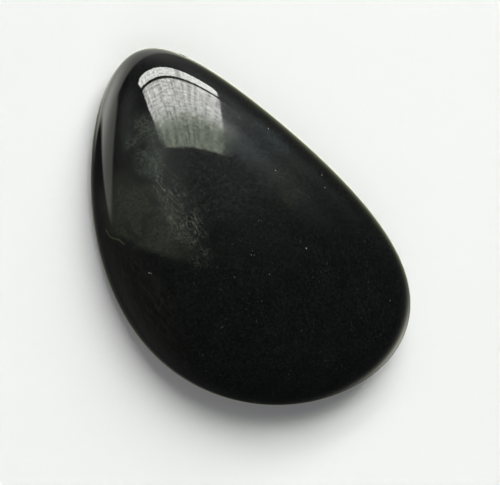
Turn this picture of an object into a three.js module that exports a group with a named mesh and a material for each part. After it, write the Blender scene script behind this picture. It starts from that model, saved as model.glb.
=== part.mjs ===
// A pear-shaped cabochon: one polished stone with a low domed face, a rolled rim and a flat back.
// Millimetres, +Z up. It lies on its back with its tip towards +Y. The origin is on the back, under
// the middle of the outline's box.

import * as THREE from 'three';

// Outline, seen from above
const LENGTH = 28.0; // from the tip to the round end
const BREADTH = 18.0; // across the pear before its ends lean to one side
const TAPER = 0.268; // share of the breadth that moves from the tip half to the round half
const LEAN = 2.34; // how strongly both ends lean towards +X, so that the -X flank bulges
const LEAN_LINE = 0.18; // where the lean starts: 0 is mid length and 1 is the tip

// Section, from the middle of the face out and down to the back
const THICKNESS = 5.5;
const GIRDLE_HEIGHT = 1.8; // height of the widest line
const FACE_REACH = 0.61; // how far out the dome's level pull reaches, as a share of the outline
const SHOULDER_REACH = 0.62; // how far up the rim's upright pull reaches, as a share of the dome
const SUMMIT_Y = -0.8; // the dome is highest a little towards the round end
const BACK_INSET = 0.05; // share of the outline that the flat back falls short of it
const BEVEL_HEIGHT = 0.3; // small ground edge round the back

// Facets
const STEPS_AROUND = 80;
const DOME_RINGS = 18;
const WALL_RINGS = 4;

// Half of the section on a blank of radius 1: x is the share of the outline, y the height in mm.
// It runs from the summit over the dome, down the slightly convex wall, round the bevel and back to
// the axis on the flat back.
function sectionPoints() {
  const domeHeight = THICKNESS - GIRDLE_HEIGHT;
  const dome = new THREE.CubicBezierCurve(
    new THREE.Vector2(0, THICKNESS),
    new THREE.Vector2(FACE_REACH, THICKNESS),
    new THREE.Vector2(1, GIRDLE_HEIGHT + SHOULDER_REACH * domeHeight),
    new THREE.Vector2(1, GIRDLE_HEIGHT),
  );
  const points = dome.getPoints(DOME_RINGS);
  const wallTurn = Math.asin(1 - BEVEL_HEIGHT / GIRDLE_HEIGHT);
  for (let ring = 1; ring <= WALL_RINGS; ring += 1) {
    const turn = (wallTurn * ring) / WALL_RINGS;
    const share = 1 - BACK_INSET * (1 - Math.cos(turn));
    points.push(new THREE.Vector2(share, GIRDLE_HEIGHT * (1 - Math.sin(turn))));
  }
  points.push(new THREE.Vector2(1 - BACK_INSET, 0));
  points.push(new THREE.Vector2(0, 0));
  return points;
}

// The outline's point at an angle that is 0 at the tip and half a turn at the round end.
function outlinePoint(angle) {
  const along = Math.cos(angle);
  const narrowing = 1 - TAPER * along;
  const lean = LEAN * (along - LEAN_LINE) ** 2;
  return new THREE.Vector2(
    (BREADTH / 2) * Math.sin(angle) * narrowing + lean,
    (LENGTH / 2) * along,
  );
}

// Turns the round blank into the stone: each ring of the blank becomes the outline, drawn in towards
// the summit by the ring's share.
function stoneGeometry() {
  const geometry = new THREE.LatheGeometry(sectionPoints(), STEPS_AROUND);
  const summit = new THREE.Vector2(0, SUMMIT_Y);
  const position = geometry.getAttribute('position');
  for (let vertex = 0; vertex < position.count; vertex += 1) {
    const across = position.getX(vertex);
    const forward = position.getZ(vertex);
    const share = Math.hypot(across, forward);
    const outline = outlinePoint(Math.atan2(across, forward));
    const place = summit.clone().lerp(outline, share);
    position.setXYZ(vertex, place.x, place.y, position.getY(vertex));
  }
  geometry.computeVertexNormals();
  geometry.computeBoundingBox();
  const middle = geometry.boundingBox.getCenter(new THREE.Vector3());
  geometry.translate(-middle.x, -middle.y, 0);
  return geometry;
}

const polishedStone = new THREE.MeshStandardMaterial({
  color: 0x10140f,
  roughness: 0.06,
  metalness: 0,
});

const stone = new THREE.Mesh(stoneGeometry(), polishedStone);
stone.name = 'stone';

const cabochon = new THREE.Group();
cabochon.add(stone);

export default cabochon;
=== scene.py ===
"""Looks for a polished pear-shaped cabochon that lies on a pale table by a window.

Metres, with +Z up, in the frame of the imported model: the stone lies on its flat back, its tip is
towards +Y and the origin is under the middle of its outline. Directions round the stone are plan
angles in degrees, 0 along +X and 90 along +Y.
"""

import logging
import math
from dataclasses import dataclass
from enum import Enum

import bpy
from mathutils import Matrix, Vector

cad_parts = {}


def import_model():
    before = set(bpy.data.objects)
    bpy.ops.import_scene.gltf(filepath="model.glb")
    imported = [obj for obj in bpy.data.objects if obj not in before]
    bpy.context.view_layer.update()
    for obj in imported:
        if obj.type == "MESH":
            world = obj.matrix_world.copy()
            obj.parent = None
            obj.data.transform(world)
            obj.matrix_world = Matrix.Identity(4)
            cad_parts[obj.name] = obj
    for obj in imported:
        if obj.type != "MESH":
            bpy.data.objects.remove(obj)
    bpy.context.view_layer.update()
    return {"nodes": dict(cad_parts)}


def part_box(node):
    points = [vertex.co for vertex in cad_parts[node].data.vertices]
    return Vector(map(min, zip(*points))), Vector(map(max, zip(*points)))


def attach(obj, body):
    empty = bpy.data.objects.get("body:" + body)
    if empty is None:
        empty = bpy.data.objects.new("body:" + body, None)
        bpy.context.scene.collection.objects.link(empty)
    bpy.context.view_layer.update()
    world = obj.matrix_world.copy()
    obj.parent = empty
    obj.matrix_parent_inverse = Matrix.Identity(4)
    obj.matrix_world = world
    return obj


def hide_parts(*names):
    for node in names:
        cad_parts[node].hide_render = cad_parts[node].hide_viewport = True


LOG = logging.getLogger("cabochon")

MM = 0.001
FAR_MM = 99.0
PHOTO_WIDTH_PX = 500

Colour = tuple[float, float, float]
Place = tuple[float, float, float]
Step = tuple[float, float]
Corner = tuple[float, float]
Inputs = dict[str | int, object]
Socket = bpy.types.NodeSocket


class Side(Enum):
    """The two sides of the stone that a cutter finishes differently."""

    POLISHED = "stone_polished"
    GROUND = "stone_ground_back"


class Mapping(Enum):
    """The two ways in which coordinates are mapped."""

    SQUEEZE = "POINT"
    BRING_TO_ORIGIN = "TEXTURE"


def plan_direction(azimuth: float, elevation: float = 0.0) -> Vector:
    """Gives the unit vector of a direction seen from the stone.

    Args:
        azimuth: Plan angle in degrees.
        elevation: Angle above the table in degrees.

    Returns:
        The direction as a unit vector.
    """
    turn = math.radians(azimuth)
    rise = math.radians(elevation)
    level = math.cos(rise)
    return Vector((level * math.cos(turn), level * math.sin(turn), math.sin(rise)))


def opaque(colour: Colour) -> tuple[float, float, float, float]:
    """Gives a colour with full cover, as a colour socket takes it."""
    return (*colour, 1.0)


@dataclass(frozen=True)
class Clouding:
    """A cloudy noise between 0 and 1.

    Args:
        size: How far apart its lumps are, in the coordinates' unit.
        detail: How many finer layers it has.
        roughness: How strong the finer layers are.
        distortion: How much it is twisted.
        turn: How far it is turned in plan, in degrees, where it is squeezed.
        squeeze: How much it is squeezed on each axis. Below 1 it is drawn out.
    """

    size: float
    detail: float
    roughness: float = 0.5
    distortion: float = 0.0
    turn: float = 0.0
    squeeze: Place | None = None


@dataclass(frozen=True)
class Field:
    """A number in a node tree that adds and multiplies like a plain number."""

    bench: "NodeBench"
    socket: Socket

    def __add__(self, other: "Amount") -> "Field":
        """Adds."""
        return self.bench.math("ADD", self, other)

    def __sub__(self, other: "Amount") -> "Field":
        """Takes away."""
        return self.bench.math("SUBTRACT", self, other)

    def __mul__(self, other: "Amount") -> "Field":
        """Multiplies."""
        return self.bench.math("MULTIPLY", self, other)

    def __truediv__(self, other: "Amount") -> "Field":
        """Divides."""
        return self.bench.math("DIVIDE", self, other)

    def __pow__(self, other: "Amount") -> "Field":
        """Raises to a power."""
        return self.bench.math("POWER", self, other)

    def __rsub__(self, other: float) -> "Field":
        """Is taken away from a plain number."""
        return self.bench.math("SUBTRACT", other, self)

    def __rmul__(self, other: float) -> "Field":
        """Multiplies a plain number."""
        return self.bench.math("MULTIPLY", other, self)


Amount = Field | float


class NodeBench:
    """Builds nodes and arithmetic in one node tree."""

    def __init__(self, tree: bpy.types.NodeTree) -> None:
        """Keeps the tree that the nodes go into."""
        self.tree = tree

    def node(self, kind: str, inputs: Inputs | None = None, **settings: object) -> bpy.types.Node:
        """Adds a node.

        Args:
            kind: Blender's name for the node's class.
            inputs: What goes into its inputs, by name or by number.
            settings: Properties of the node, by name.

        Returns:
            The new node.
        """
        node = self.tree.nodes.new(kind)
        for name, value in settings.items():
            setattr(node, name, value)
        for key, value in (inputs or {}).items():
            self.feed(node.inputs[key], value)
        return node

    def feed(self, socket: Socket, value: object) -> None:
        """Links a field or a socket into a socket, or sets the socket to a plain value.

        Args:
            socket: The input socket.
            value: What goes into it.
        """
        if isinstance(value, Field):
            self.tree.links.new(value.socket, socket)
        elif isinstance(value, Socket):
            self.tree.links.new(value, socket)
        else:
            socket.default_value = value

    def math(self, operation: str, *values: Amount) -> Field:
        """Adds one Math node over the values and gives its result."""
        node = self.node("ShaderNodeMath", dict(enumerate(values)), operation=operation)
        return Field(self, node.outputs[0])

    def clamp(self, value: Field) -> Field:
        """Keeps a number between 0 and 1."""
        return self.math("MINIMUM", self.math("MAXIMUM", value, 0.0), 1.0)

    def blend(self, first: Field, second: Field, share: float) -> Field:
        """Gives a number between two others; a share of 1 gives the second."""
        return first * (1.0 - share) + second * share

    def smooth(self, value: Field, step: tuple[Amount, Amount]) -> Field:
        """Gives a soft step.

        Args:
            value: The number that is looked at.
            step: Its values at which the step is 0 and 1.

        Returns:
            A number between 0 and 1.
        """
        low, high = step
        inputs = {"Value": value, "From Min": low, "From Max": high}
        node = self.node("ShaderNodeMapRange", inputs, interpolation_type="SMOOTHSTEP")
        return Field(self, node.outputs["Result"])

    def vector(self, operation: str, *values: object) -> Socket:
        """Adds one Vector Math node whose result is a vector."""
        node = self.node("ShaderNodeVectorMath", dict(enumerate(values)), operation=operation)
        return node.outputs["Vector"]

    def measure(self, operation: str, *values: object) -> Field:
        """Adds one Vector Math node whose result is a number, such as a length or a dot product."""
        node = self.node("ShaderNodeVectorMath", dict(enumerate(values)), operation=operation)
        return Field(self, node.outputs["Value"])

    def scaled(self, vector: object, amount: Amount) -> Socket:
        """Gives a vector times a number."""
        node = self.node("ShaderNodeVectorMath", {0: vector, "Scale": amount}, operation="SCALE")
        return node.outputs["Vector"]

    def split(self, vector: Socket) -> tuple[Field, Field, Field]:
        """Gives the three numbers of a vector."""
        across, along, up = self.node("ShaderNodeSeparateXYZ", {0: vector}).outputs
        return Field(self, across), Field(self, along), Field(self, up)

    def join(self, across: Amount, along: Amount, up: Amount) -> Socket:
        """Gives the vector of three numbers."""
        return self.node("ShaderNodeCombineXYZ", {0: across, 1: along, 2: up}).outputs[0]

    def mapped(
        self, vector: Socket, way: Mapping, turn: float, scale: Place, middle: Place = (0.0, 0.0, 0.0)
    ) -> Socket:
        """Maps coordinates.

        Args:
            vector: The coordinates.
            way: Whether they are squeezed and turned, or a patch of them is brought to the origin.
            turn: The turn in plan, in degrees.
            scale: How much they are squeezed on each axis, or the patch's reach.
            middle: The patch's middle.

        Returns:
            The new coordinates.
        """
        rotation = (0.0, 0.0, math.radians(turn))
        inputs = {"Vector": vector, "Location": middle, "Rotation": rotation, "Scale": scale}
        return self.node("ShaderNodeMapping", inputs, vector_type=way.value).outputs[0]

    def noise(self, vector: Socket, clouding: Clouding) -> Field:
        """Gives a cloudy noise.

        Args:
            vector: The coordinates.
            clouding: The noise's size and kind.

        Returns:
            A number between 0 and 1.
        """
        if clouding.squeeze:
            vector = self.mapped(vector, Mapping.SQUEEZE, clouding.turn, clouding.squeeze)
        inputs = {
            "Vector": vector,
            "Scale": 1.0 / clouding.size,
            "Detail": clouding.detail,
            "Roughness": clouding.roughness,
            "Distortion": clouding.distortion,
        }
        return Field(self, self.node("ShaderNodeTexNoise", inputs).outputs["Fac"])

    def bumped(self, height: Field) -> Socket:
        """Gives the surface's normal with a relief whose height is in metres."""
        node = self.node("ShaderNodeBump", {"Strength": 1.0, "Distance": 1.0, "Height": height})
        return node.outputs["Normal"]

    def mix(self, share: Amount, first: object, second: object) -> Socket:
        """Mixes two colours; a share of 1 gives the second."""
        # A Mix node takes the share in its input 0 and two colours in its inputs 6 and 7.
        node = self.node("ShaderNodeMix", {0: share, 6: first, 7: second}, data_type="RGBA")
        return node.outputs[2]


@dataclass(frozen=True)
class Patch:
    """A patch in the stone with a soft edge.

    Args:
        middle: Its middle on the stone, in millimetres.
        reach: How far it reaches across, along and up, in millimetres.
        turn: How far it is turned in plan, in degrees.
        fade: Where it begins and where it is full, as shares of the reach.
    """

    middle: Place
    reach: Place
    turn: float
    fade: Step = (1.08, 0.62)

    def cover(self, bench: NodeBench, place: Socket, wander: Field) -> Field:
        """Gives the patch's density, which fades out towards its wandering edge.

        Args:
            bench: The material's nodes.
            place: The place on the stone in millimetres.
            wander: How far the edge wanders there, as a share of the reach.

        Returns:
            A number between 0 and 1.
        """
        brought = bench.mapped(place, Mapping.BRING_TO_ORIGIN, self.turn, self.reach, self.middle)
        return bench.smooth(bench.measure("LENGTH", brought) + wander, self.fade)


@dataclass(frozen=True)
class Veil:
    """A tinted patch in the stone's colour, which a noise breaks up: a veil in the stone, or a painted
    haze.

    Args:
        patch: Where it lies.
        colour: Its colour.
        step: The noise's values at which the veil is open and closed.
        wander: How much its edge wanders.
    """

    patch: Patch
    colour: Colour
    step: Step
    wander: float = 0.0

    def cover(self, bench: NodeBench, place: Socket, wander: Field) -> Field:
        """Gives the veil's density before a noise breaks it up."""
        return self.patch.cover(bench, place, wander * self.wander)

    def closed(self, bench: NodeBench, noise: Field) -> Field:
        """Gives 1 where the noise leaves the veil closed and 0 where it opens it."""
        return bench.smooth(noise, self.step)


@dataclass(frozen=True)
class MossInclusions:
    """Greenish clouds, wisps and the thin edge of a lighter layer, in the near-black stone, and painted
    haze and glow beside the window's reflection.

    Places are in millimetres. The haze ends along a line in plan, which is given by a point on it and
    by the direction that leads into the haze.
    """

    grey_veil: Veil = Veil(
        Patch((0.9, 4.0, 5.2), (4.4, 3.8, 2.4), 20.0),
        colour=(0.0125, 0.0141, 0.0134),
        step=(0.42, 0.66),
        wander=0.6,
    )
    # Painted haze: a bluish glow painted into the colour beside the right edge of the window's
    # reflection, where the polish spreads the highlight.
    painted_window_haze: Veil = Veil(
        Patch((3.9, 4.9, 4.5), (1.9, 3.8, 2.2), 40.0),
        colour=(0.0125, 0.0160, 0.0172),
        step=(0.30, 0.62),
    )
    olive_veil: Veil = Veil(
        Patch((4.2, 0.8, 4.9), (2.2, 2.0, 2.0), 30.0),
        colour=(0.0125, 0.0128, 0.0090),
        step=(0.38, 0.64),
    )
    flank: Veil = Veil(
        Patch((-7.9, 0.2, 3.4), (1.3, 5.5, 2.2), -4.0),
        colour=(0.0080, 0.0079, 0.0061),
        step=(0.36, 0.66),
    )
    haze: Veil = Veil(
        Patch((-5.5, 4.4, 4.2), (2.7, 4.2, 3.4), 12.0),
        colour=(0.0215, 0.0235, 0.0180),
        step=(0.30, 0.60),
        wander=0.75,
    )
    # Painted glow: a lighter patch painted near the tip, between the window's reflection and the rim,
    # where the highlight's haze falls. Its patch also places wisps.
    painted_tip_glow: Veil = Veil(
        Patch((-2.6, 8.4, 4.3), (1.5, 2.6, 2.2), -30.0),
        colour=(0.0270, 0.0330, 0.0265),
        step=(0.34, 0.58),
        wander=0.5,
    )
    wisps: Veil = Veil(
        Patch((-3.3, 3.4, 5.0), (1.3, 4.4, 2.2), -10.0),
        colour=(0.058, 0.066, 0.051),
        step=(0.32, 0.56),
    )

    grain: Clouding = Clouding(0.38, 5.0, 0.85)
    clouds: Clouding = Clouding(1.7, 7.0, 0.6, 0.4)
    fine_grain: Clouding = Clouding(0.18, 4.0, 0.9)
    streaks: Clouding = Clouding(0.6, 6.0, 0.7, turn=8.0, squeeze=(3.0, 0.6, 1.2))
    strands: Clouding = Clouding(0.34, 5.0, 0.82, 0.7, turn=-6.0, squeeze=(2.4, 1.0, 1.5))
    strand_step: Step = (0.46, 0.66)
    milky_fine_share: float = 0.6
    milky_step: Step = (0.38, 0.62)
    grey_fine_share: float = 0.5
    haze_milky_share: float = 0.5
    tip_wisp_share: float = 0.35
    cloud_wander: float = 1.6
    grain_wander: float = 0.8

    haze_end: tuple[float, float] = (-6.4, 2.3)
    haze_inward: tuple[float, float] = (0.845, 0.534)
    haze_end_wander: float = 0.8
    haze_end_step: Step = (-0.14, 0.55)

    edge_colour: Colour = (0.060, 0.062, 0.034)
    edge_run: tuple[Place, ...] = (
        (-7.61, 5.25, 2.77),
        (-7.72, 4.67, 3.01),
        (-7.61, 4.44, 3.26),
        (-7.46, 4.26, 3.48),
        (-7.37, 3.80, 3.70),
    )
    edge_fray: Clouding = Clouding(0.22, 3.0)
    edge_fray_reach: float = 0.16
    edge_step: Step = (0.17, 0.07)
    edge_density: float = 0.58

    def dress(self, bench: NodeBench, place: Socket, ground: Socket) -> Socket:
        """Lays the inclusions, and the painted haze and glow beside the window's reflection, over the
        stone's ground colour.

        Args:
            bench: The material's nodes.
            place: The place on the stone in millimetres.
            ground: The ground colour's socket.

        Returns:
            The socket of the colour with its inclusions.
        """
        grain = bench.noise(place, self.grain)
        clouds = bench.noise(place, self.clouds)
        fine = bench.noise(place, self.fine_grain)
        milky = bench.smooth(bench.blend(grain, fine, self.milky_fine_share), self.milky_step)
        greyish = bench.blend(grain, fine, self.grey_fine_share)
        streaks = bench.noise(place, self.streaks)
        strands = bench.smooth(bench.noise(place, self.strands), self.strand_step)
        wander = (clouds - 0.5) * self.cloud_wander + (grain - 0.5) * self.grain_wander

        # The tip's painted glow, whose patch also places wisps there.
        tip = self.painted_tip_glow.cover(bench, place, wander) * self.painted_tip_glow.closed(bench, clouds)
        tufts = bench.math("MAXIMUM", self.wisps.cover(bench, place, wander), tip * self.tip_wisp_share)
        haze = self.haze.cover(bench, place, wander) * self.before_haze_end(bench, place, wander)
        hazy = bench.blend(self.haze.closed(bench, clouds), milky, self.haze_milky_share)
        patterns = (
            (self.grey_veil, self.grey_veil.closed(bench, greyish)),
            # Painted haze beside the window's reflection, not a veil in the stone.
            (self.painted_window_haze, self.painted_window_haze.closed(bench, clouds) * milky),
            (self.olive_veil, self.olive_veil.closed(bench, clouds) * milky),
            (self.flank, self.flank.closed(bench, streaks)),
        )
        colour = ground
        for veil, pattern in patterns:
            colour = bench.mix(veil.cover(bench, place, wander) * pattern, colour, opaque(veil.colour))
        colour = bench.mix(haze * hazy, colour, opaque(self.haze.colour))
        # Lays the painted glow near the tip.
        colour = bench.mix(tip * milky, colour, opaque(self.painted_tip_glow.colour))
        wispy = tufts * strands * self.wisps.closed(bench, clouds)
        colour = bench.mix(wispy, colour, opaque(self.wisps.colour))
        return bench.mix(self.edge_line(bench, place), colour, opaque(self.edge_colour))

    def before_haze_end(self, bench: NodeBench, place: Socket, wander: Field) -> Field:
        """Gives 1 on the haze's side of the line where it ends, and 0 beyond it.

        Args:
            bench: The material's nodes.
            place: The place on the stone in millimetres.
            wander: How far the line wanders there.

        Returns:
            A number between 0 and 1.
        """
        across, along, _ = bench.split(place)
        inward = (across - self.haze_end[0]) * self.haze_inward[0]
        inward = inward + (along - self.haze_end[1]) * self.haze_inward[1]
        return bench.smooth(inward + wander * self.haze_end_wander, self.haze_end_step)

    def edge_line(self, bench: NodeBench, place: Socket) -> Field:
        """Gives the density of the lighter layer's thin edge, which is 0 beside its line.

        Args:
            bench: The material's nodes.
            place: The place on the stone in millimetres.

        Returns:
            A number between 0 and the edge's density.
        """
        nearest: Amount = FAR_MM
        for first, second in zip(self.edge_run, self.edge_run[1:]):
            run = Vector(second) - Vector(first)
            offset = bench.vector("SUBTRACT", place, first)
            along = bench.clamp(bench.measure("DOT_PRODUCT", offset, run) / run.length_squared)
            apart = bench.measure("DISTANCE", offset, bench.scaled(run, along))
            nearest = bench.math("MINIMUM", apart, nearest)
        frayed = nearest + bench.noise(place, self.edge_fray) * self.edge_fray_reach
        return bench.smooth(frayed, self.edge_step) * self.edge_density


@dataclass(frozen=True)
class Speck:
    """One speck in the face: its place across and along, and its radius, in millimetres."""

    across: float
    along: float
    radius: float


@dataclass(frozen=True)
class Specks:
    """Pinpoint pale specks in the face, and the dust of much finer flecks between them."""

    colour: Colour = (0.20, 0.22, 0.19)
    specks: tuple[Speck, ...] = (
        Speck(5.65, 4.59, 0.045),
        Speck(4.08, 2.03, 0.045),
        Speck(7.07, -0.19, 0.045),
        Speck(6.62, -0.98, 0.030),
        Speck(7.42, 1.78, 0.020),
        Speck(2.66, -3.50, 0.045),
        Speck(6.16, -10.11, 0.035),
        Speck(-7.22, 1.31, 0.045),
        Speck(-7.14, 1.19, 0.026),
        Speck(-2.75, -2.18, 0.030),
        Speck(-0.92, -1.60, 0.030),
        Speck(-0.70, -1.44, 0.022),
        Speck(-0.76, -1.74, 0.020),
        Speck(0.87, -0.03, 0.026),
        Speck(1.04, -0.14, 0.018),
        Speck(-0.60, -3.40, 0.024),
        Speck(-2.10, -4.60, 0.026),
    )
    fray: Clouding = Clouding(0.09, 2.0)
    fray_reach: float = 0.05
    speck_step: Step = (0.045, -0.015)

    dust_colour: Colour = (0.022, 0.025, 0.022)
    flecks: Clouding = Clouding(0.17, 3.0, 0.7)
    fleck_step: Step = (0.60, 0.72)
    groups: Clouding = Clouding(2.4, 3.0)
    group_step: Step = (0.40, 0.62)

    def dust(self, bench: NodeBench, place: Socket) -> Field:
        """Gives the sparse cover of the dust, whose flecks gather in loose groups."""
        flecks = bench.smooth(bench.noise(place, self.flecks), self.fleck_step)
        return flecks * bench.smooth(bench.noise(place, self.groups), self.group_step)

    def cover(self, bench: NodeBench, place: Socket) -> Field:
        """Gives the cover of the specks.

        Args:
            bench: The material's nodes.
            place: The place on the stone in millimetres.

        Returns:
            A number that is 1 on a speck and 0 beside it.
        """
        across, along, _ = bench.split(place)
        level = bench.join(across, along, 0.0)
        nearest: Amount = FAR_MM
        for speck in self.specks:
            apart = bench.measure("DISTANCE", level, (speck.across, speck.along, 0.0))
            nearest = bench.math("MINIMUM", apart - speck.radius, nearest)
        frayed = nearest + bench.noise(place, self.fray) * self.fray_reach
        return bench.smooth(frayed, self.speck_step)


@dataclass(frozen=True)
class StoneFinish:
    """A finish of the stone. Each kind of finish gives the inputs of the shader.

    Args:
        side: The side of the stone that it is for.
        index: The stone's index of refraction.
    """

    side: Side
    index: float = 1.54

    def looks(self, bench: NodeBench, place: Socket) -> Inputs:
        """Gives the shader's inputs at a place in millimetres, by name."""
        raise NotImplementedError

    def material(self) -> bpy.types.Material:
        """Builds the finish.

        Returns:
            The material.
        """
        material = bpy.data.materials.new(self.side.value)
        material.use_nodes = True
        bench = NodeBench(material.node_tree)
        shader = material.node_tree.nodes["Principled BSDF"]
        place = bench.scaled(bench.node("ShaderNodeTexCoord").outputs["Object"], 1.0 / MM)
        for name, value in self.looks(bench, place).items():
            bench.feed(shader.inputs[name], value)
        shader.inputs["IOR"].default_value = self.index
        return material


@dataclass(frozen=True)
class PolishedStone(StoneFinish):
    """The polished face and rim: near-black with a dark green cast, under a glassy polish."""

    side: Side = Side.POLISHED
    deep: Colour = (0.0012, 0.0014, 0.0013)
    veil: Colour = (0.0056, 0.0063, 0.0059)
    mottle: Clouding = Clouding(1.4, 3.0, 0.6)
    grain: Clouding = Clouding(0.19, 4.0, 0.9)
    grain_share: float = 0.84
    veil_step: Step = (0.41, 0.63)
    moss: MossInclusions = MossInclusions()
    specks: Specks = Specks()
    handling: Clouding = Clouding(2.6, 5.0)
    roughness: float = 0.025
    handled_roughness: float = 0.03
    orange_peel: Clouding = Clouding(0.22, 3.0, 0.6)
    orange_peel_height: float = 0.0005 * MM

    def looks(self, bench: NodeBench, place: Socket) -> Inputs:
        """Gives the shader's inputs, with duller clouds from handling and a fine orange-peel.

        Args:
            bench: The material's nodes.
            place: The place on the stone in millimetres.

        Returns:
            The inputs by name.
        """
        return {
            "Base Color": self.colour(bench, place),
            "Roughness": bench.noise(place, self.handling) * self.handled_roughness + self.roughness,
            "Normal": bench.bumped(bench.noise(place, self.orange_peel) * self.orange_peel_height),
        }

    def colour(self, bench: NodeBench, place: Socket) -> Socket:
        """Gives the colour under the polish, with painted haze and glow beside the window's reflection.

        Args:
            bench: The material's nodes.
            place: The place on the stone in millimetres.

        Returns:
            The colour's socket.
        """
        mottle = bench.noise(place, self.mottle)
        grain = bench.noise(place, self.grain)
        veiled = bench.smooth(bench.blend(mottle, grain, self.grain_share), self.veil_step)
        ground = bench.mix(veiled, opaque(self.deep), opaque(self.veil))
        included = self.moss.dress(bench, place, ground)
        dusted = bench.mix(self.specks.dust(bench, place), included, opaque(self.specks.dust_colour))
        return bench.mix(self.specks.cover(bench, place), dusted, opaque(self.specks.colour))


@dataclass(frozen=True)
class GroundStone(StoneFinish):
    """The flat back: sawn and ground smooth, so greyer and satin, with fine straight scratches."""

    side: Side = Side.GROUND
    stone: Colour = (0.012, 0.014, 0.0125)
    worn: Colour = (0.030, 0.033, 0.029)
    scratches: Clouding = Clouding(0.8, 6.0, 0.7)
    scratch_closeness: float = 9.0
    scratch_slant: float = 2.0
    scratch_length: float = 0.4
    scratch_share: float = 0.4
    scratch_depth: float = 0.004 * MM
    clouds: Clouding = Clouding(3.0, 6.0)
    worn_step: Step = (0.40, 0.68)
    roughness: float = 0.28
    scratched_roughness: float = 0.25

    def looks(self, bench: NodeBench, place: Socket) -> Inputs:
        """Gives the shader's inputs, all of which follow the scratches.

        Args:
            bench: The material's nodes.
            place: The place on the stone in millimetres.

        Returns:
            The inputs by name.
        """
        across, along, up = bench.split(place)
        brushed = across * self.scratch_closeness + along * self.scratch_slant
        scratches = bench.noise(bench.join(brushed, along * self.scratch_length, up), self.scratches)
        wear = bench.blend(bench.noise(place, self.clouds), scratches, self.scratch_share)
        worn = bench.smooth(wear, self.worn_step)
        return {
            "Base Color": bench.mix(worn, opaque(self.stone), opaque(self.worn)),
            "Roughness": scratches * self.scratched_roughness + self.roughness,
            "Normal": bench.bumped(scratches * self.scratch_depth),
        }


@dataclass(frozen=True)
class CabochonRule:
    """The shape's rule: the real length and thickness, and the proportions that go with them."""

    length: float
    thickness: float
    breadth_share: float = 18.0 / 28.0
    taper: float = 0.268
    lean_share: float = 2.34 / 28.0
    lean_line: float = 0.18
    girdle_share: float = 1.8 / 5.5
    face_reach: float = 0.61
    shoulder_reach: float = 0.62
    summit_share: float = -0.8 / 28.0
    back_inset: float = 0.05
    bevel_share: float = 0.3 / 5.5

    def inputs(self) -> dict[str, float]:
        """Gives the node tree's named sizes.

        Returns:
            The sizes by name.
        """
        girdle = self.girdle_share * self.thickness
        bevel = self.bevel_share * self.thickness
        return {
            "Length": self.length,
            "Breadth": self.breadth_share * self.length,
            "Taper": self.taper,
            "Lean": self.lean_share * self.length,
            "Lean line": self.lean_line,
            "Thickness": self.thickness,
            "Girdle height": girdle,
            "Face reach": self.face_reach,
            "Shoulder reach": self.shoulder_reach,
            "Summit forward": self.summit_share * self.length,
            "Back inset": self.back_inset,
            "Bevel height": bevel,
            "Wall turn": math.asin(1.0 - bevel / girdle),
        }


@dataclass(frozen=True)
class HandWork:
    """What hand grinding leaves on the rule's clean shape: slow waves and one nick in the rim."""

    wave_height: float = 0.005 * MM
    wave_length: float = 4.5 * MM
    nick_place: Place = (3.95 * MM, 12.0 * MM, 2.6 * MM)
    nick_run: Place = (0.57, -0.82, 0.08)
    nick_length: float = 0.34 * MM
    nick_width: float = 0.12 * MM
    nick_depth: float = 0.06 * MM

    def inputs(self) -> dict[str, object]:
        """Gives the node tree's named sizes.

        Returns:
            The sizes by name.
        """
        return {
            "Wave height": self.wave_height,
            "Wave length": self.wave_length,
            "Nick place": self.nick_place,
            "Nick run": self.nick_run,
            "Nick length": self.nick_length,
            "Nick width": self.nick_width,
            "Nick depth": self.nick_depth,
        }


@dataclass(frozen=True)
class Rings:
    """How many rings of faces each stretch of the section has, and how many faces go round."""

    dome: int = 104
    wall: int = 26
    bevel: int = 3
    back: int = 12
    around: int = 480

    @property
    def total(self) -> int:
        """All rings, from the summit to the middle of the back."""
        return self.dome + self.wall + self.bevel + self.back


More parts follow.
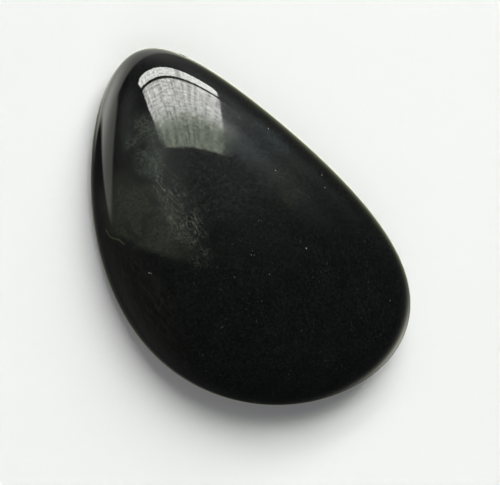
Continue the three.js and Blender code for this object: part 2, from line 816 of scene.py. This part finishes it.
class StoneTree:
    """The Geometry Nodes tree that grows the stone from its named sizes.

    An edge that turns by more than CRISP_TURN degrees stays crisp. The slow waves begin at
    STILL_SHARE of the girdle's height, so the back stays flat.
    """

    VECTORS = ("Nick place", "Nick run")
    BACK_ATTRIBUTE = "over_back"
    WELD_DISTANCE = 0.0004 * MM
    CRISP_TURN = 24.0
    WAVE_DETAIL = 1.0
    STILL_SHARE = 0.4

    def __init__(self, sizes: dict[str, object], rings: Rings) -> None:
        """Builds the tree.

        Args:
            sizes: The named sizes, which become the tree's inputs.
            rings: How finely it is divided.
        """
        self.rings = rings
        self.tree = bpy.data.node_groups.new("pear_cabochon", "GeometryNodeTree")
        self.bench = NodeBench(self.tree)
        self.declare(sizes)
        self.inputs = self.bench.node("NodeGroupInput")
        self.finish(self.dressed(self.hand_worked(self.centred(self.grown()))))

    def declare(self, sizes: dict[str, object]) -> None:
        """Args:
            sizes: The named sizes.
        """
        interface = self.tree.interface
        interface.new_socket("Geometry", in_out="INPUT", socket_type="NodeSocketGeometry")
        for name in sizes:
            kind = "NodeSocketVector" if name in self.VECTORS else "NodeSocketFloat"
            interface.new_socket(name, in_out="INPUT", socket_type=kind)
        for side in Side:
            interface.new_socket(side.value, in_out="INPUT", socket_type="NodeSocketMaterial")
        interface.new_socket("Stone", in_out="OUTPUT", socket_type="NodeSocketGeometry")

    def size(self, name: str) -> Field:
        """Gives one of the tree's named sizes."""
        return Field(self.bench, self.inputs.outputs[name])

    def identifiers(self) -> dict[str, str]:
        """Gives the identifier of each input socket, by name."""
        sockets = (item for item in self.tree.interface.items_tree if item.item_type == "SOCKET")
        return {item.name: item.identifier for item in sockets if item.in_out == "INPUT"}

    def section(self, row: Field) -> tuple[Field, Field, Field]:
        """Gives the section's rule.

        Args:
            row: The ring's number, 0 at the summit.

        Returns:
            The share of the outline, the height, and how far in over the back the ring is.
        """
        bench, rings, size = self.bench, self.rings, self.size
        over_dome = bench.clamp(row / float(rings.dome))
        down_wall = bench.clamp((row - float(rings.dome)) / float(rings.wall))
        over_bevel = bench.clamp((row - float(rings.dome + rings.wall)) / float(rings.bevel))
        over_back = bench.clamp((row - float(rings.total - rings.back)) / float(rings.back))

        # The dome is a cubic curve, and these are the shares of its four points.
        left = 1.0 - over_dome
        start = left ** 3.0
        first = 3.0 * over_dome * left ** 2.0
        second = 3.0 * over_dome ** 2.0 * left
        end = over_dome ** 3.0
        thickness, girdle = size("Thickness"), size("Girdle height")
        shoulder = girdle + size("Shoulder reach") * (thickness - girdle)
        share = first * size("Face reach") + second + end
        height = thickness * (start + first) + shoulder * second + girdle * end

        turn = down_wall * size("Wall turn")
        inset = size("Back inset")
        share = share - inset * (1.0 - bench.math("COSINE", turn))
        height = height - girdle * bench.math("SINE", turn)
        share = share - over_bevel * inset * bench.math("COSINE", size("Wall turn"))
        height = height - over_bevel * size("Bevel height")
        share = share - over_back * (1.0 - inset)
        return share, height, over_back

    def grown(self) -> Socket:
        """Rolls a flat grid up into the stone and marks its back.

        Returns:
            The shape's socket.
        """
        bench, size, rings = self.bench, self.size, self.rings
        divisions = {
            "Size X": 1.0,
            "Size Y": 1.0,
            "Vertices X": rings.around + 1,
            "Vertices Y": rings.total + 1,
        }
        grid = bench.node("GeometryNodeMeshGrid", divisions)
        across, down, _ = bench.split(bench.node("GeometryNodeInputPosition").outputs[0])
        angle = (across + 0.5) * math.tau
        row = bench.math("ROUND", (down + 0.5) * float(rings.total))
        share, height, over_back = self.section(row)

        along = bench.math("COSINE", angle)
        lean = size("Lean") * (along - size("Lean line")) ** 2.0
        half = size("Breadth") * 0.5 * bench.math("SINE", angle)
        outline_x = half * (1.0 - size("Taper") * along) + lean
        outline_y = size("Length") * 0.5 * along
        summit = size("Summit forward")
        place = bench.join(share * outline_x, summit + share * (outline_y - summit), height)

        mark = {"Geometry": grid.outputs["Mesh"], "Name": self.BACK_ATTRIBUTE, "Value": over_back}
        marked = bench.node("GeometryNodeStoreNamedAttribute", mark, data_type="FLOAT", domain="POINT")
        roll = {"Geometry": marked.outputs[0], "Position": place}
        rolled = bench.node("GeometryNodeSetPosition", roll)
        weld = {"Geometry": rolled.outputs[0], "Distance": self.WELD_DISTANCE}
        return bench.node("GeometryNodeMergeByDistance", weld).outputs[0]

    def centred(self, shape: Socket) -> Socket:
        """Moves the outline's middle to the origin.

        Args:
            shape: The shape's socket.

        Returns:
            The moved shape's socket.
        """
        bench = self.bench
        box = bench.node("GeometryNodeBoundBox", {0: shape})
        low_x, low_y, _ = bench.split(box.outputs["Min"])
        high_x, high_y, _ = bench.split(box.outputs["Max"])
        shift = bench.join((low_x + high_x) * -0.5, (low_y + high_y) * -0.5, 0.0)
        return bench.node("GeometryNodeTransform", {"Geometry": shape, "Translation": shift}).outputs[0]

    def hand_worked(self, shape: Socket) -> Socket:
        """Adds the slow waves of hand grinding and the nick, and keeps the back flat.

        Args:
            shape: The clean shape's socket.

        Returns:
            The worked shape's socket.
        """
        bench, size = self.bench, self.size
        position = bench.node("GeometryNodeInputPosition").outputs[0]
        normal = bench.node("GeometryNodeInputNormal").outputs[0]
        height = bench.split(position)[2]
        free = bench.clamp(height / size("Girdle height") - self.STILL_SHARE)
        ripple = {
            "Vector": position,
            "Scale": bench.math("DIVIDE", 1.0, size("Wave length")),
            "Detail": self.WAVE_DETAIL,
        }
        waves = Field(bench, bench.node("ShaderNodeTexNoise", ripple).outputs["Fac"])
        wave = (waves - 0.5) * 2.0 * size("Wave height") * free

        offset = bench.vector("SUBTRACT", position, self.inputs.outputs["Nick place"])
        along = bench.measure("DOT_PRODUCT", offset, self.inputs.outputs["Nick run"])
        distance = bench.measure("LENGTH", offset)
        aside = bench.math("SQRT", bench.math("MAXIMUM", distance ** 2.0 - along * along, 0.0))
        spread = (along / size("Nick length")) ** 2.0 + (aside / size("Nick width")) ** 2.0
        nick = bench.math("EXPONENT", spread * -1.0) * size("Nick depth")

        push = {"Geometry": shape, "Offset": bench.scaled(normal, wave - nick)}
        return bench.node("GeometryNodeSetPosition", push).outputs[0]

    def dressed(self, shape: Socket) -> Socket:
        """Shades the shape smooth but for its ground edges, and gives both sides their finish.

        Args:
            shape: The shape's socket.

        Returns:
            The dressed shape's socket.
        """
        bench = self.bench
        angle = Field(bench, bench.node("GeometryNodeInputMeshEdgeAngle").outputs["Unsigned Angle"])
        soft = bench.math("LESS_THAN", angle, math.radians(self.CRISP_TURN))
        faces = bench.node("GeometryNodeSetShadeSmooth", {"Geometry": shape}, domain="FACE")
        soften = {"Geometry": faces.outputs[0], "Shade Smooth": soft}
        edges = bench.node("GeometryNodeSetShadeSmooth", soften, domain="EDGE")

        named = {"Name": self.BACK_ATTRIBUTE}
        mark = bench.node("GeometryNodeInputNamedAttribute", named, data_type="FLOAT")
        on_back = bench.math("GREATER_THAN", Field(bench, mark.outputs["Attribute"]), 0.0)
        polish = {"Geometry": edges.outputs[0], "Material": self.inputs.outputs[Side.POLISHED.value]}
        polished = bench.node("GeometryNodeSetMaterial", polish)
        grind = {
            "Geometry": polished.outputs[0],
            "Selection": on_back,
            "Material": self.inputs.outputs[Side.GROUND.value],
        }
        return bench.node("GeometryNodeSetMaterial", grind).outputs[0]

    def finish(self, shape: Socket) -> None:
        """Ends the tree with plain realized geometry."""
        realized = self.bench.node("GeometryNodeRealizeInstances", {0: shape})
        self.bench.node("NodeGroupOutput", {0: realized.outputs[0]})


@dataclass
class CabochonStone:
    """The stone itself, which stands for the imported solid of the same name."""

    rule: CabochonRule
    hand_work: HandWork = HandWork()
    rings: Rings = Rings()
    face: PolishedStone = PolishedStone()
    back: GroundStone = GroundStone()
    name: str = "cabochon_stone"
    node: str = "stone"
    slot: str = "polished_stone"

    def build(self) -> bpy.types.Object:
        """Grows the stone, turns it into a plain mesh and puts it in the frame.

        Returns:
            The stone's object.
        """
        sizes = {**self.rule.inputs(), **self.hand_work.inputs()}
        tree = StoneTree(sizes, self.rings)
        stone = bpy.data.objects.new(self.name, bpy.data.meshes.new(self.name + "_blank"))
        bpy.context.scene.collection.objects.link(stone)
        modifier = stone.modifiers.new("pear_cabochon", "NODES")
        modifier.node_group = tree.tree
        identifiers = tree.identifiers()
        for name, value in sizes.items():
            modifier[identifiers[name]] = value
        for finish in (self.face, self.back):
            modifier[identifiers[finish.side.value]] = finish.material()
        graph = bpy.context.evaluated_depsgraph_get()
        mesh = bpy.data.meshes.new_from_object(stone.evaluated_get(graph), depsgraph=graph)
        stone.modifiers.clear()
        stone.data = mesh
        mesh.name = self.name
        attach(stone, "root")
        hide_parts(self.node)
        LOG.info("%s: %d faces, materials %s", self.name, len(mesh.polygons), mesh.materials.keys())
        return stone


@dataclass(frozen=True)
class Table:
    """The plain pale table top that the stone lies on.

    The polish doesn't mirror it. The room's lit sheet and soft glows stand there in its place.
    """

    half_width: float = 1.6
    gap: float = 0.02 * MM
    paper: Colour = (0.620, 0.618, 0.634)
    roughness: float = 0.9
    specular: float = 0.2

    def build(self) -> bpy.types.Object:
        """Makes the table top.

        Returns:
            The table top's object.
        """
        half = self.half_width
        corners = [(-half, -half), (half, -half), (half, half), (-half, half)]
        mesh = bpy.data.meshes.new("table")
        mesh.from_pydata([(x, y, -self.gap) for x, y in corners], [], [(0, 1, 2, 3)])
        table = bpy.data.objects.new("table", mesh)
        bpy.context.scene.collection.objects.link(table)
        material = bpy.data.materials.new("table_paper")
        material.use_nodes = True
        shader = material.node_tree.nodes["Principled BSDF"]
        shader.inputs["Base Color"].default_value = opaque(self.paper)
        shader.inputs["Roughness"].default_value = self.roughness
        shader.inputs["Specular IOR Level"].default_value = self.specular
        mesh.materials.append(material)
        table.visible_glossy = False
        LOG.info("table: %.1f m wide", 2 * half)
        return table


@dataclass(frozen=True)
class HangingEdge:
    """The line of a curtain's side edge: how far to the side it is at a height, and how it leans."""

    side: float
    height: float
    lean: float

    def past(self, side: Field, height: Field) -> Field:
        """Gives how far a place is past the line, sideways."""
        return side - self.side + (height - self.height) * self.lean


@dataclass(frozen=True)
class WindowLight:
    """A tall curtained window beside the table, whose reflection bends over the stone's tip.

    Its upright plane stands at a distance in one direction. Its corners are sideways and up in that
    plane, in shares of the distance, and sideways is positive towards larger plan angles. All its
    other sizes are shares of the distance too. A bar runs across it, with clear panes below and the
    curtain above. A garden's leaves and a post shade the panes. The curtain dims towards its top and
    softens towards its sides, and a thin veil goes on past its right side.
    """

    azimuth: float = 74.6
    distance: float = 0.6
    right_pane: tuple[Corner, ...] = (
        (-1.60, 0.575),
        (-0.92, 0.612),
        (-0.92, 0.912),
        (-1.69, 0.866),
        (-1.67, 0.66),
    )
    left_pane: tuple[Corner, ...] = (
        (-0.92, 0.612),
        (-0.02, 0.68),
        (0.16, 0.72),
        (0.245, 0.82),
        (0.22, 0.99),
        (-0.92, 0.912),
    )
    curtain: tuple[Corner, ...] = (
        (-2.30, 0.965),
        (-1.70, 0.95),
        (0.21, 1.08),
        (0.22, 1.65),
        (0.20, 2.12),
        (0.20, 2.68),
        (0.15, 3.18),
        (-0.52, 3.80),
        (-1.28, 4.11),
        (-3.15, 4.30),
        (-2.90, 3.30),
        (-2.60, 1.90),
    )
    brightness: float = 19.4
    colour: Colour = (0.99, 1.0, 0.955)

    bar_height: float = 1.02
    bar_slope: float = 0.068
    bar_softness: float = 0.03

    leaves: Clouding = Clouding(0.060, 3.0, 0.8)
    leaf_step: Step = (0.42, 0.64)
    leaf_shade: float = 0.50
    pane_shade: float = 0.12
    post_side: float = -0.85
    post_step: Step = (0.11, 0.03)
    post_shade: float = 0.60

    folds: Clouding = Clouding(0.09, 3.0, 0.7, squeeze=(1.0, 0.05, 1.0))
    fold_step: Step = (0.32, 0.66)
    weave: Clouding = Clouding(0.062, 4.0, 0.8, squeeze=(0.3, 1.0, 1.0))
    weave_step: Step = (0.38, 0.64)
    weave_share: float = 0.55
    thinnest: float = 0.16
    sheer: float = 0.77

    threads: Clouding = Clouding(0.040, 3.0, 0.8, squeeze=(1.0, 0.08, 1.0))
    fold_hang: float = 0.8
    thread_hang: float = 1.5
    dim_step: Step = (1.75, 2.85)
    dimmed: float = 0.32
    dim_colour: Colour = (0.90, 1.0, 0.80)

    right_edge: HangingEdge = HangingEdge(-1.72, 0.93, 0.15)
    left_edge: HangingEdge = HangingEdge(0.28, 1.06, 0.03)
    skirt_step: Step = (1.3, 3.2)
    right_softness: float = -0.01
    right_softness_above: float = -0.30
    left_softness: float = 0.03
    left_softness_above: float = 0.26
    veil_step: Step = (-0.60, 0.05)
    veil_fray: float = 0.5
    veil_rise: Step = (1.7, 2.7)
    veil_density: float = 0.06
    veil_density_above: float = 0.46

    def build(self) -> bpy.types.Object:
        """Makes the window's panes, which give light themselves.

        Returns:
            The window's object.
        """
        away = plan_direction(self.azimuth)
        sideways = Vector((0.0, 0.0, 1.0)).cross(away)
        middle = away * self.distance
        points = []
        faces = []
        for corners in (self.right_pane, self.left_pane, self.curtain):
            faces.append(range(len(points), len(points) + len(corners)))
            for side, height in corners:
                reach = sideways * side + Vector((0.0, 0.0, height))
                points.append(middle + reach * self.distance)
        mesh = bpy.data.meshes.new("window")
        mesh.from_pydata(points, [], faces)
        mesh.materials.append(self.material(sideways))
        window = bpy.data.objects.new("window", mesh)
        bpy.context.scene.collection.objects.link(window)
        LOG.info("window: %d panes", len(faces))
        return window

    def material(self, sideways: Vector) -> bpy.types.Material:
        """Builds the daylight in the panes and behind the curtain.

        Args:
            sideways: The direction along the window's plane.

        Returns:
            The material.
        """
        material = bpy.data.materials.new("window_daylight")
        material.use_nodes = True
        material.node_tree.nodes.clear()
        bench = NodeBench(material.node_tree)
        coordinates = bench.node("ShaderNodeTexCoord").outputs["Object"]
        side = bench.measure("DOT_PRODUCT", coordinates, sideways) / self.distance
        height = bench.split(coordinates)[2] / self.distance
        place = bench.join(side, height, 0.0)
        fold = bench.noise(place, self.folds)
        threads = bench.noise(place, self.threads)

        bar_step = (self.bar_height - self.bar_softness, self.bar_height + self.bar_softness)
        above_bar = bench.smooth(height - side * self.bar_slope, bar_step)
        hung = 1.0 - above_bar * (1.0 - self.cloth(bench, place, fold) * self.sheer)
        garden = 1.0 - (1.0 - above_bar) * self.shade(bench, side, place)
        hem = height + (fold - 0.5) * self.fold_hang + (threads - 0.5) * self.thread_hang
        dimness = bench.smooth(hem, self.dim_step)
        fading = 1.0 - dimness * (1.0 - self.dimmed)

        colour = bench.mix(dimness, opaque(self.colour), opaque(self.dim_colour))
        strength = hung * garden * fading * self.brightness
        light = bench.node("ShaderNodeEmission", {"Color": colour, "Strength": strength}).outputs[0]
        clear = bench.node("ShaderNodeBsdfTransparent").outputs[0]
        cover = self.cover(bench, side, height, threads)
        hanging = bench.node("ShaderNodeMixShader", {0: cover, 1: clear, 2: light})
        bench.node("ShaderNodeOutputMaterial", {"Surface": hanging.outputs[0]})
        return material

    def cloth(self, bench: NodeBench, place: Socket, fold: Field) -> Field:
        """Gives how much light comes through the curtain's folds and weave.

        Args:
            bench: The material's nodes.
            place: The place in the window's plane.
            fold: The noise that its folds follow.

        Returns:
            A number that is 0 where no light comes through.
        """
        folds = bench.smooth(fold, self.fold_step)
        weave = bench.smooth(bench.noise(place, self.weave), self.weave_step)
        return bench.blend(folds, weave, self.weave_share) + self.thinnest

    def shade(self, bench: NodeBench, side: Field, place: Socket) -> Field:
        """Gives how much the leaves and the post darken the clear panes.

        Args:
            bench: The material's nodes.
            side: The place's share sideways.
            place: The place in the window's plane.

        Returns:
            A number that is 0 where nothing darkens them.
        """
        leaves = bench.smooth(bench.noise(place, self.leaves), self.leaf_step)
        post = bench.smooth(bench.math("ABSOLUTE", side - self.post_side), self.post_step)
        return bench.math("MAXIMUM", leaves * self.leaf_shade + self.pane_shade, post * self.post_shade)

    def cover(self, bench: NodeBench, side: Field, height: Field, threads: Field) -> Field:
        """Gives how much of the window is left towards its soft sides, which are softer higher up.

        Args:
            bench: The material's nodes.
            side: The place's share sideways.
            height: The place's share up.
            threads: The noise that frays the thin veil.

        Returns:
            A number between 0 and 1.
        """
        skirt = bench.smooth(height, self.skirt_step)
        inside_right = self.right_edge.past(side, height)
        inside_left = self.left_edge.past(side, height) * -1.0
        right_step = (skirt * self.right_softness_above + self.right_softness, 0.0)
        left_step = (0.0, skirt * self.left_softness_above + self.left_softness)
        rise = bench.smooth(height, self.veil_rise)
        veil = bench.smooth(inside_right + (threads - 0.5) * self.veil_fray, self.veil_step)
        veil = veil * (rise * self.veil_density_above + self.veil_density)
        right_side = bench.math("MAXIMUM", bench.smooth(inside_right, right_step), veil)
        return right_side * bench.smooth(inside_left, left_step)


@dataclass(frozen=True)
class SoftFill:
    """A large soft studio light that opens the shadow and leaves no reflection in the polish."""

    place: Place = (-0.75, -0.65, 1.35)
    size: float = 1.5
    power: float = 8.6

    def build(self) -> bpy.types.Object:
        """Makes the light and turns it to the stone.

        Returns:
            The light's object.
        """
        data = bpy.data.lights.new("soft_fill", "AREA")
        data.size = self.size
        data.energy = self.power
        light = bpy.data.objects.new("soft_fill", data)
        bpy.context.scene.collection.objects.link(light)
        light.location = self.place
        light.rotation_euler = Vector(self.place).to_track_quat("Z", "Y").to_euler()
        light.visible_glossy = False
        light.visible_camera = False
        LOG.info("soft fill: %.1f W", self.power)
        return light


@dataclass(frozen=True)
class Glow:
    """A soft patch of light in the room.

    Args:
        azimuth: Its direction in plan, in degrees.
        elevation: Its height above the table, in degrees.
        strength: How bright its middle is.
        width: How far it reaches, in degrees.
        colour: Its colour.
    """

    azimuth: float
    elevation: float
    strength: float
    width: float
    colour: Colour

    def light(self, bench: NodeBench, direction: Socket) -> Socket:
        """Gives the glow's light in a direction.

        Args:
            bench: The room's nodes.
            direction: The direction's socket.

        Returns:
            The light as a vector's socket.
        """
        facing = bench.measure("DOT_PRODUCT", direction, plan_direction(self.azimuth, self.elevation))
        sharpness = 1.0 / (1.0 - math.cos(math.radians(self.width)))
        amount = bench.math("EXPONENT", (facing - 1.0) * sharpness) * self.strength
        return bench.scaled(self.colour, amount)


@dataclass(frozen=True)
class RoundPatch:
    """A round patch of directions with a soft edge, its middle, reach and softness in degrees."""

    azimuth: float
    elevation: float
    reach: float
    softness: float

    def inside(self, bench: NodeBench, direction: Socket) -> Field:
        """Gives whether a direction is in the patch.

        Args:
            bench: The room's nodes.
            direction: The direction's socket.

        Returns:
            A number that is 1 inside the patch and 0 outside it.
        """
        facing = bench.measure("DOT_PRODUCT", direction, plan_direction(self.azimuth, self.elevation))
        outer = math.cos(math.radians(self.reach + self.softness))
        inner = math.cos(math.radians(self.reach - self.softness))
        return bench.smooth(facing, (outer, inner))


@dataclass(frozen=True)
class LitPaper:
    """The window-lit sheet beside the stone: two patches that join, and what hides part of both."""

    sheet: RoundPatch = RoundPatch(95.0, -49.0, 60.0, 4.0)
    raised_part: RoundPatch = RoundPatch(129.0, 4.0, 19.5, 3.5)
    hidden_parts: tuple[RoundPatch, ...] = (
        RoundPatch(180.0, -34.0, 48.3, 3.0),
        RoundPatch(230.0, -68.0, 37.0, 5.0),
    )
    even: float = 0.92
    bright_side: Glow = Glow(115.0, -20.0, 2.60, 24.0, (1.0, 1.0, 0.94))
    colour: Colour = (1.0, 1.0, 0.92)

    def light(self, bench: NodeBench, direction: Socket) -> Socket:
        """Gives the sheet's light in a direction.

        Args:
            bench: The room's nodes.
            direction: The direction's socket.

        Returns:
            The light as a vector's socket.
        """
        sheet = self.sheet.inside(bench, direction)
        seen = bench.math("MAXIMUM", sheet, self.raised_part.inside(bench, direction))
        for part in self.hidden_parts:
            seen = seen * (1.0 - part.inside(bench, direction))
        even = tuple(self.even * part for part in self.colour)
        light = bench.vector("ADD", self.bright_side.light(bench, direction), even)
        return bench.scaled(light, seen)


@dataclass(frozen=True)
class Room:
    """The dim room round the table with its soft glows, as the polish mirrors it."""

    dark: Colour = (0.034, 0.035, 0.037)
    paper: LitPaper = LitPaper()
    glows: tuple[Glow, ...] = (
        Glow(15.0, 45.0, 1.00, 10.0, (0.92, 1.0, 1.0)),
        Glow(14.0, 22.0, 0.45, 12.0, (0.96, 1.0, 1.0)),
        Glow(48.0, 2.0, 0.46, 28.0, (1.0, 1.0, 0.98)),
        Glow(45.0, -25.0, 0.16, 24.0, (1.0, 1.0, 0.95)),
        Glow(80.0, 73.0, 0.42, 12.0, (0.94, 1.0, 0.98)),
        Glow(8.0, 66.0, 0.16, 11.0, (0.94, 1.0, 1.0)),
        Glow(98.0, 69.0, 0.24, 9.0, (0.96, 1.0, 0.96)),
        Glow(108.0, 38.0, 0.24, 11.0, (0.98, 1.0, 0.98)),
        Glow(125.0, 42.0, 0.14, 20.0, (1.0, 1.0, 0.97)),
        Glow(308.0, -26.0, 1.75, 16.0, (1.0, 1.0, 0.86)),
        Glow(4.0, -52.0, 1.05, 24.0, (1.0, 1.05, 0.68)),
        Glow(180.0, -20.0, 0.13, 32.0, (1.0, 0.98, 0.90)),
    )

    def build(self) -> bpy.types.World:
        """Makes the room's light.

        Returns:
            The world.
        """
        world = bpy.data.worlds.new("room")
        world.use_nodes = True
        world.node_tree.nodes.clear()
        bench = NodeBench(world.node_tree)
        direction = bench.node("ShaderNodeTexCoord").outputs["Generated"]
        light = bench.vector("ADD", self.dark, self.paper.light(bench, direction))
        for glow in self.glows:
            light = bench.vector("ADD", light, glow.light(bench, direction))
        background = bench.node("ShaderNodeBackground", {"Color": light})
        bench.node("ShaderNodeOutputWorld", {"Surface": background.outputs[0]})
        bpy.context.scene.world = world
        LOG.info("room: %d glows", len(self.glows))
        return world


@dataclass(frozen=True)
class Viewpoint:
    """The camera at the photograph's viewing angle."""

    lean: float = 20.0
    toward: float = 160.0
    picture_up: float = 54.3
    aim: Place = (1.358 * MM, -1.56 * MM, 0.0)
    distance: float = 150.0 * MM
    pixels_per_mm: float = 14.24
    sensor: float = 36.0
    clip_start: float = 0.01
    clip_end: float = 10.0

    def build(self) -> bpy.types.Object:
        """Makes the camera and gives it to the scene.

        Returns:
            The camera's object.
        """
        back = plan_direction(self.toward, 90.0 - self.lean)
        right = plan_direction(self.picture_up).cross(back).normalized()
        up = back.cross(right)
        data = bpy.data.cameras.new("camera")
        data.sensor_width = self.sensor
        data.lens = self.pixels_per_mm * (self.distance / MM) * self.sensor / PHOTO_WIDTH_PX
        data.clip_start = self.clip_start
        data.clip_end = self.clip_end
        camera = bpy.data.objects.new("camera", data)
        bpy.context.scene.collection.objects.link(camera)
        turn = Matrix((right, up, back)).transposed().to_4x4()
        camera.matrix_world = Matrix.Translation(Vector(self.aim) + back * self.distance) @ turn
        bpy.context.scene.camera = camera
        LOG.info("camera: lens %.1f mm", data.lens)
        return camera


def main() -> None:
    """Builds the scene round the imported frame."""
    logging.basicConfig(level=logging.INFO, format="%(name)s %(message)s")
    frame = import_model()
    LOG.info("frame: nodes %s", sorted(frame["nodes"]))
    Viewpoint().build()
    low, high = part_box("stone")
    CabochonStone(CabochonRule(length=high.y - low.y, thickness=high.z - low.z)).build()
    Table().build()
    WindowLight().build()
    SoftFill().build()
    Room().build()
    bpy.context.scene.view_settings.view_transform = "Standard"


if __name__ == "__main__":
    main()
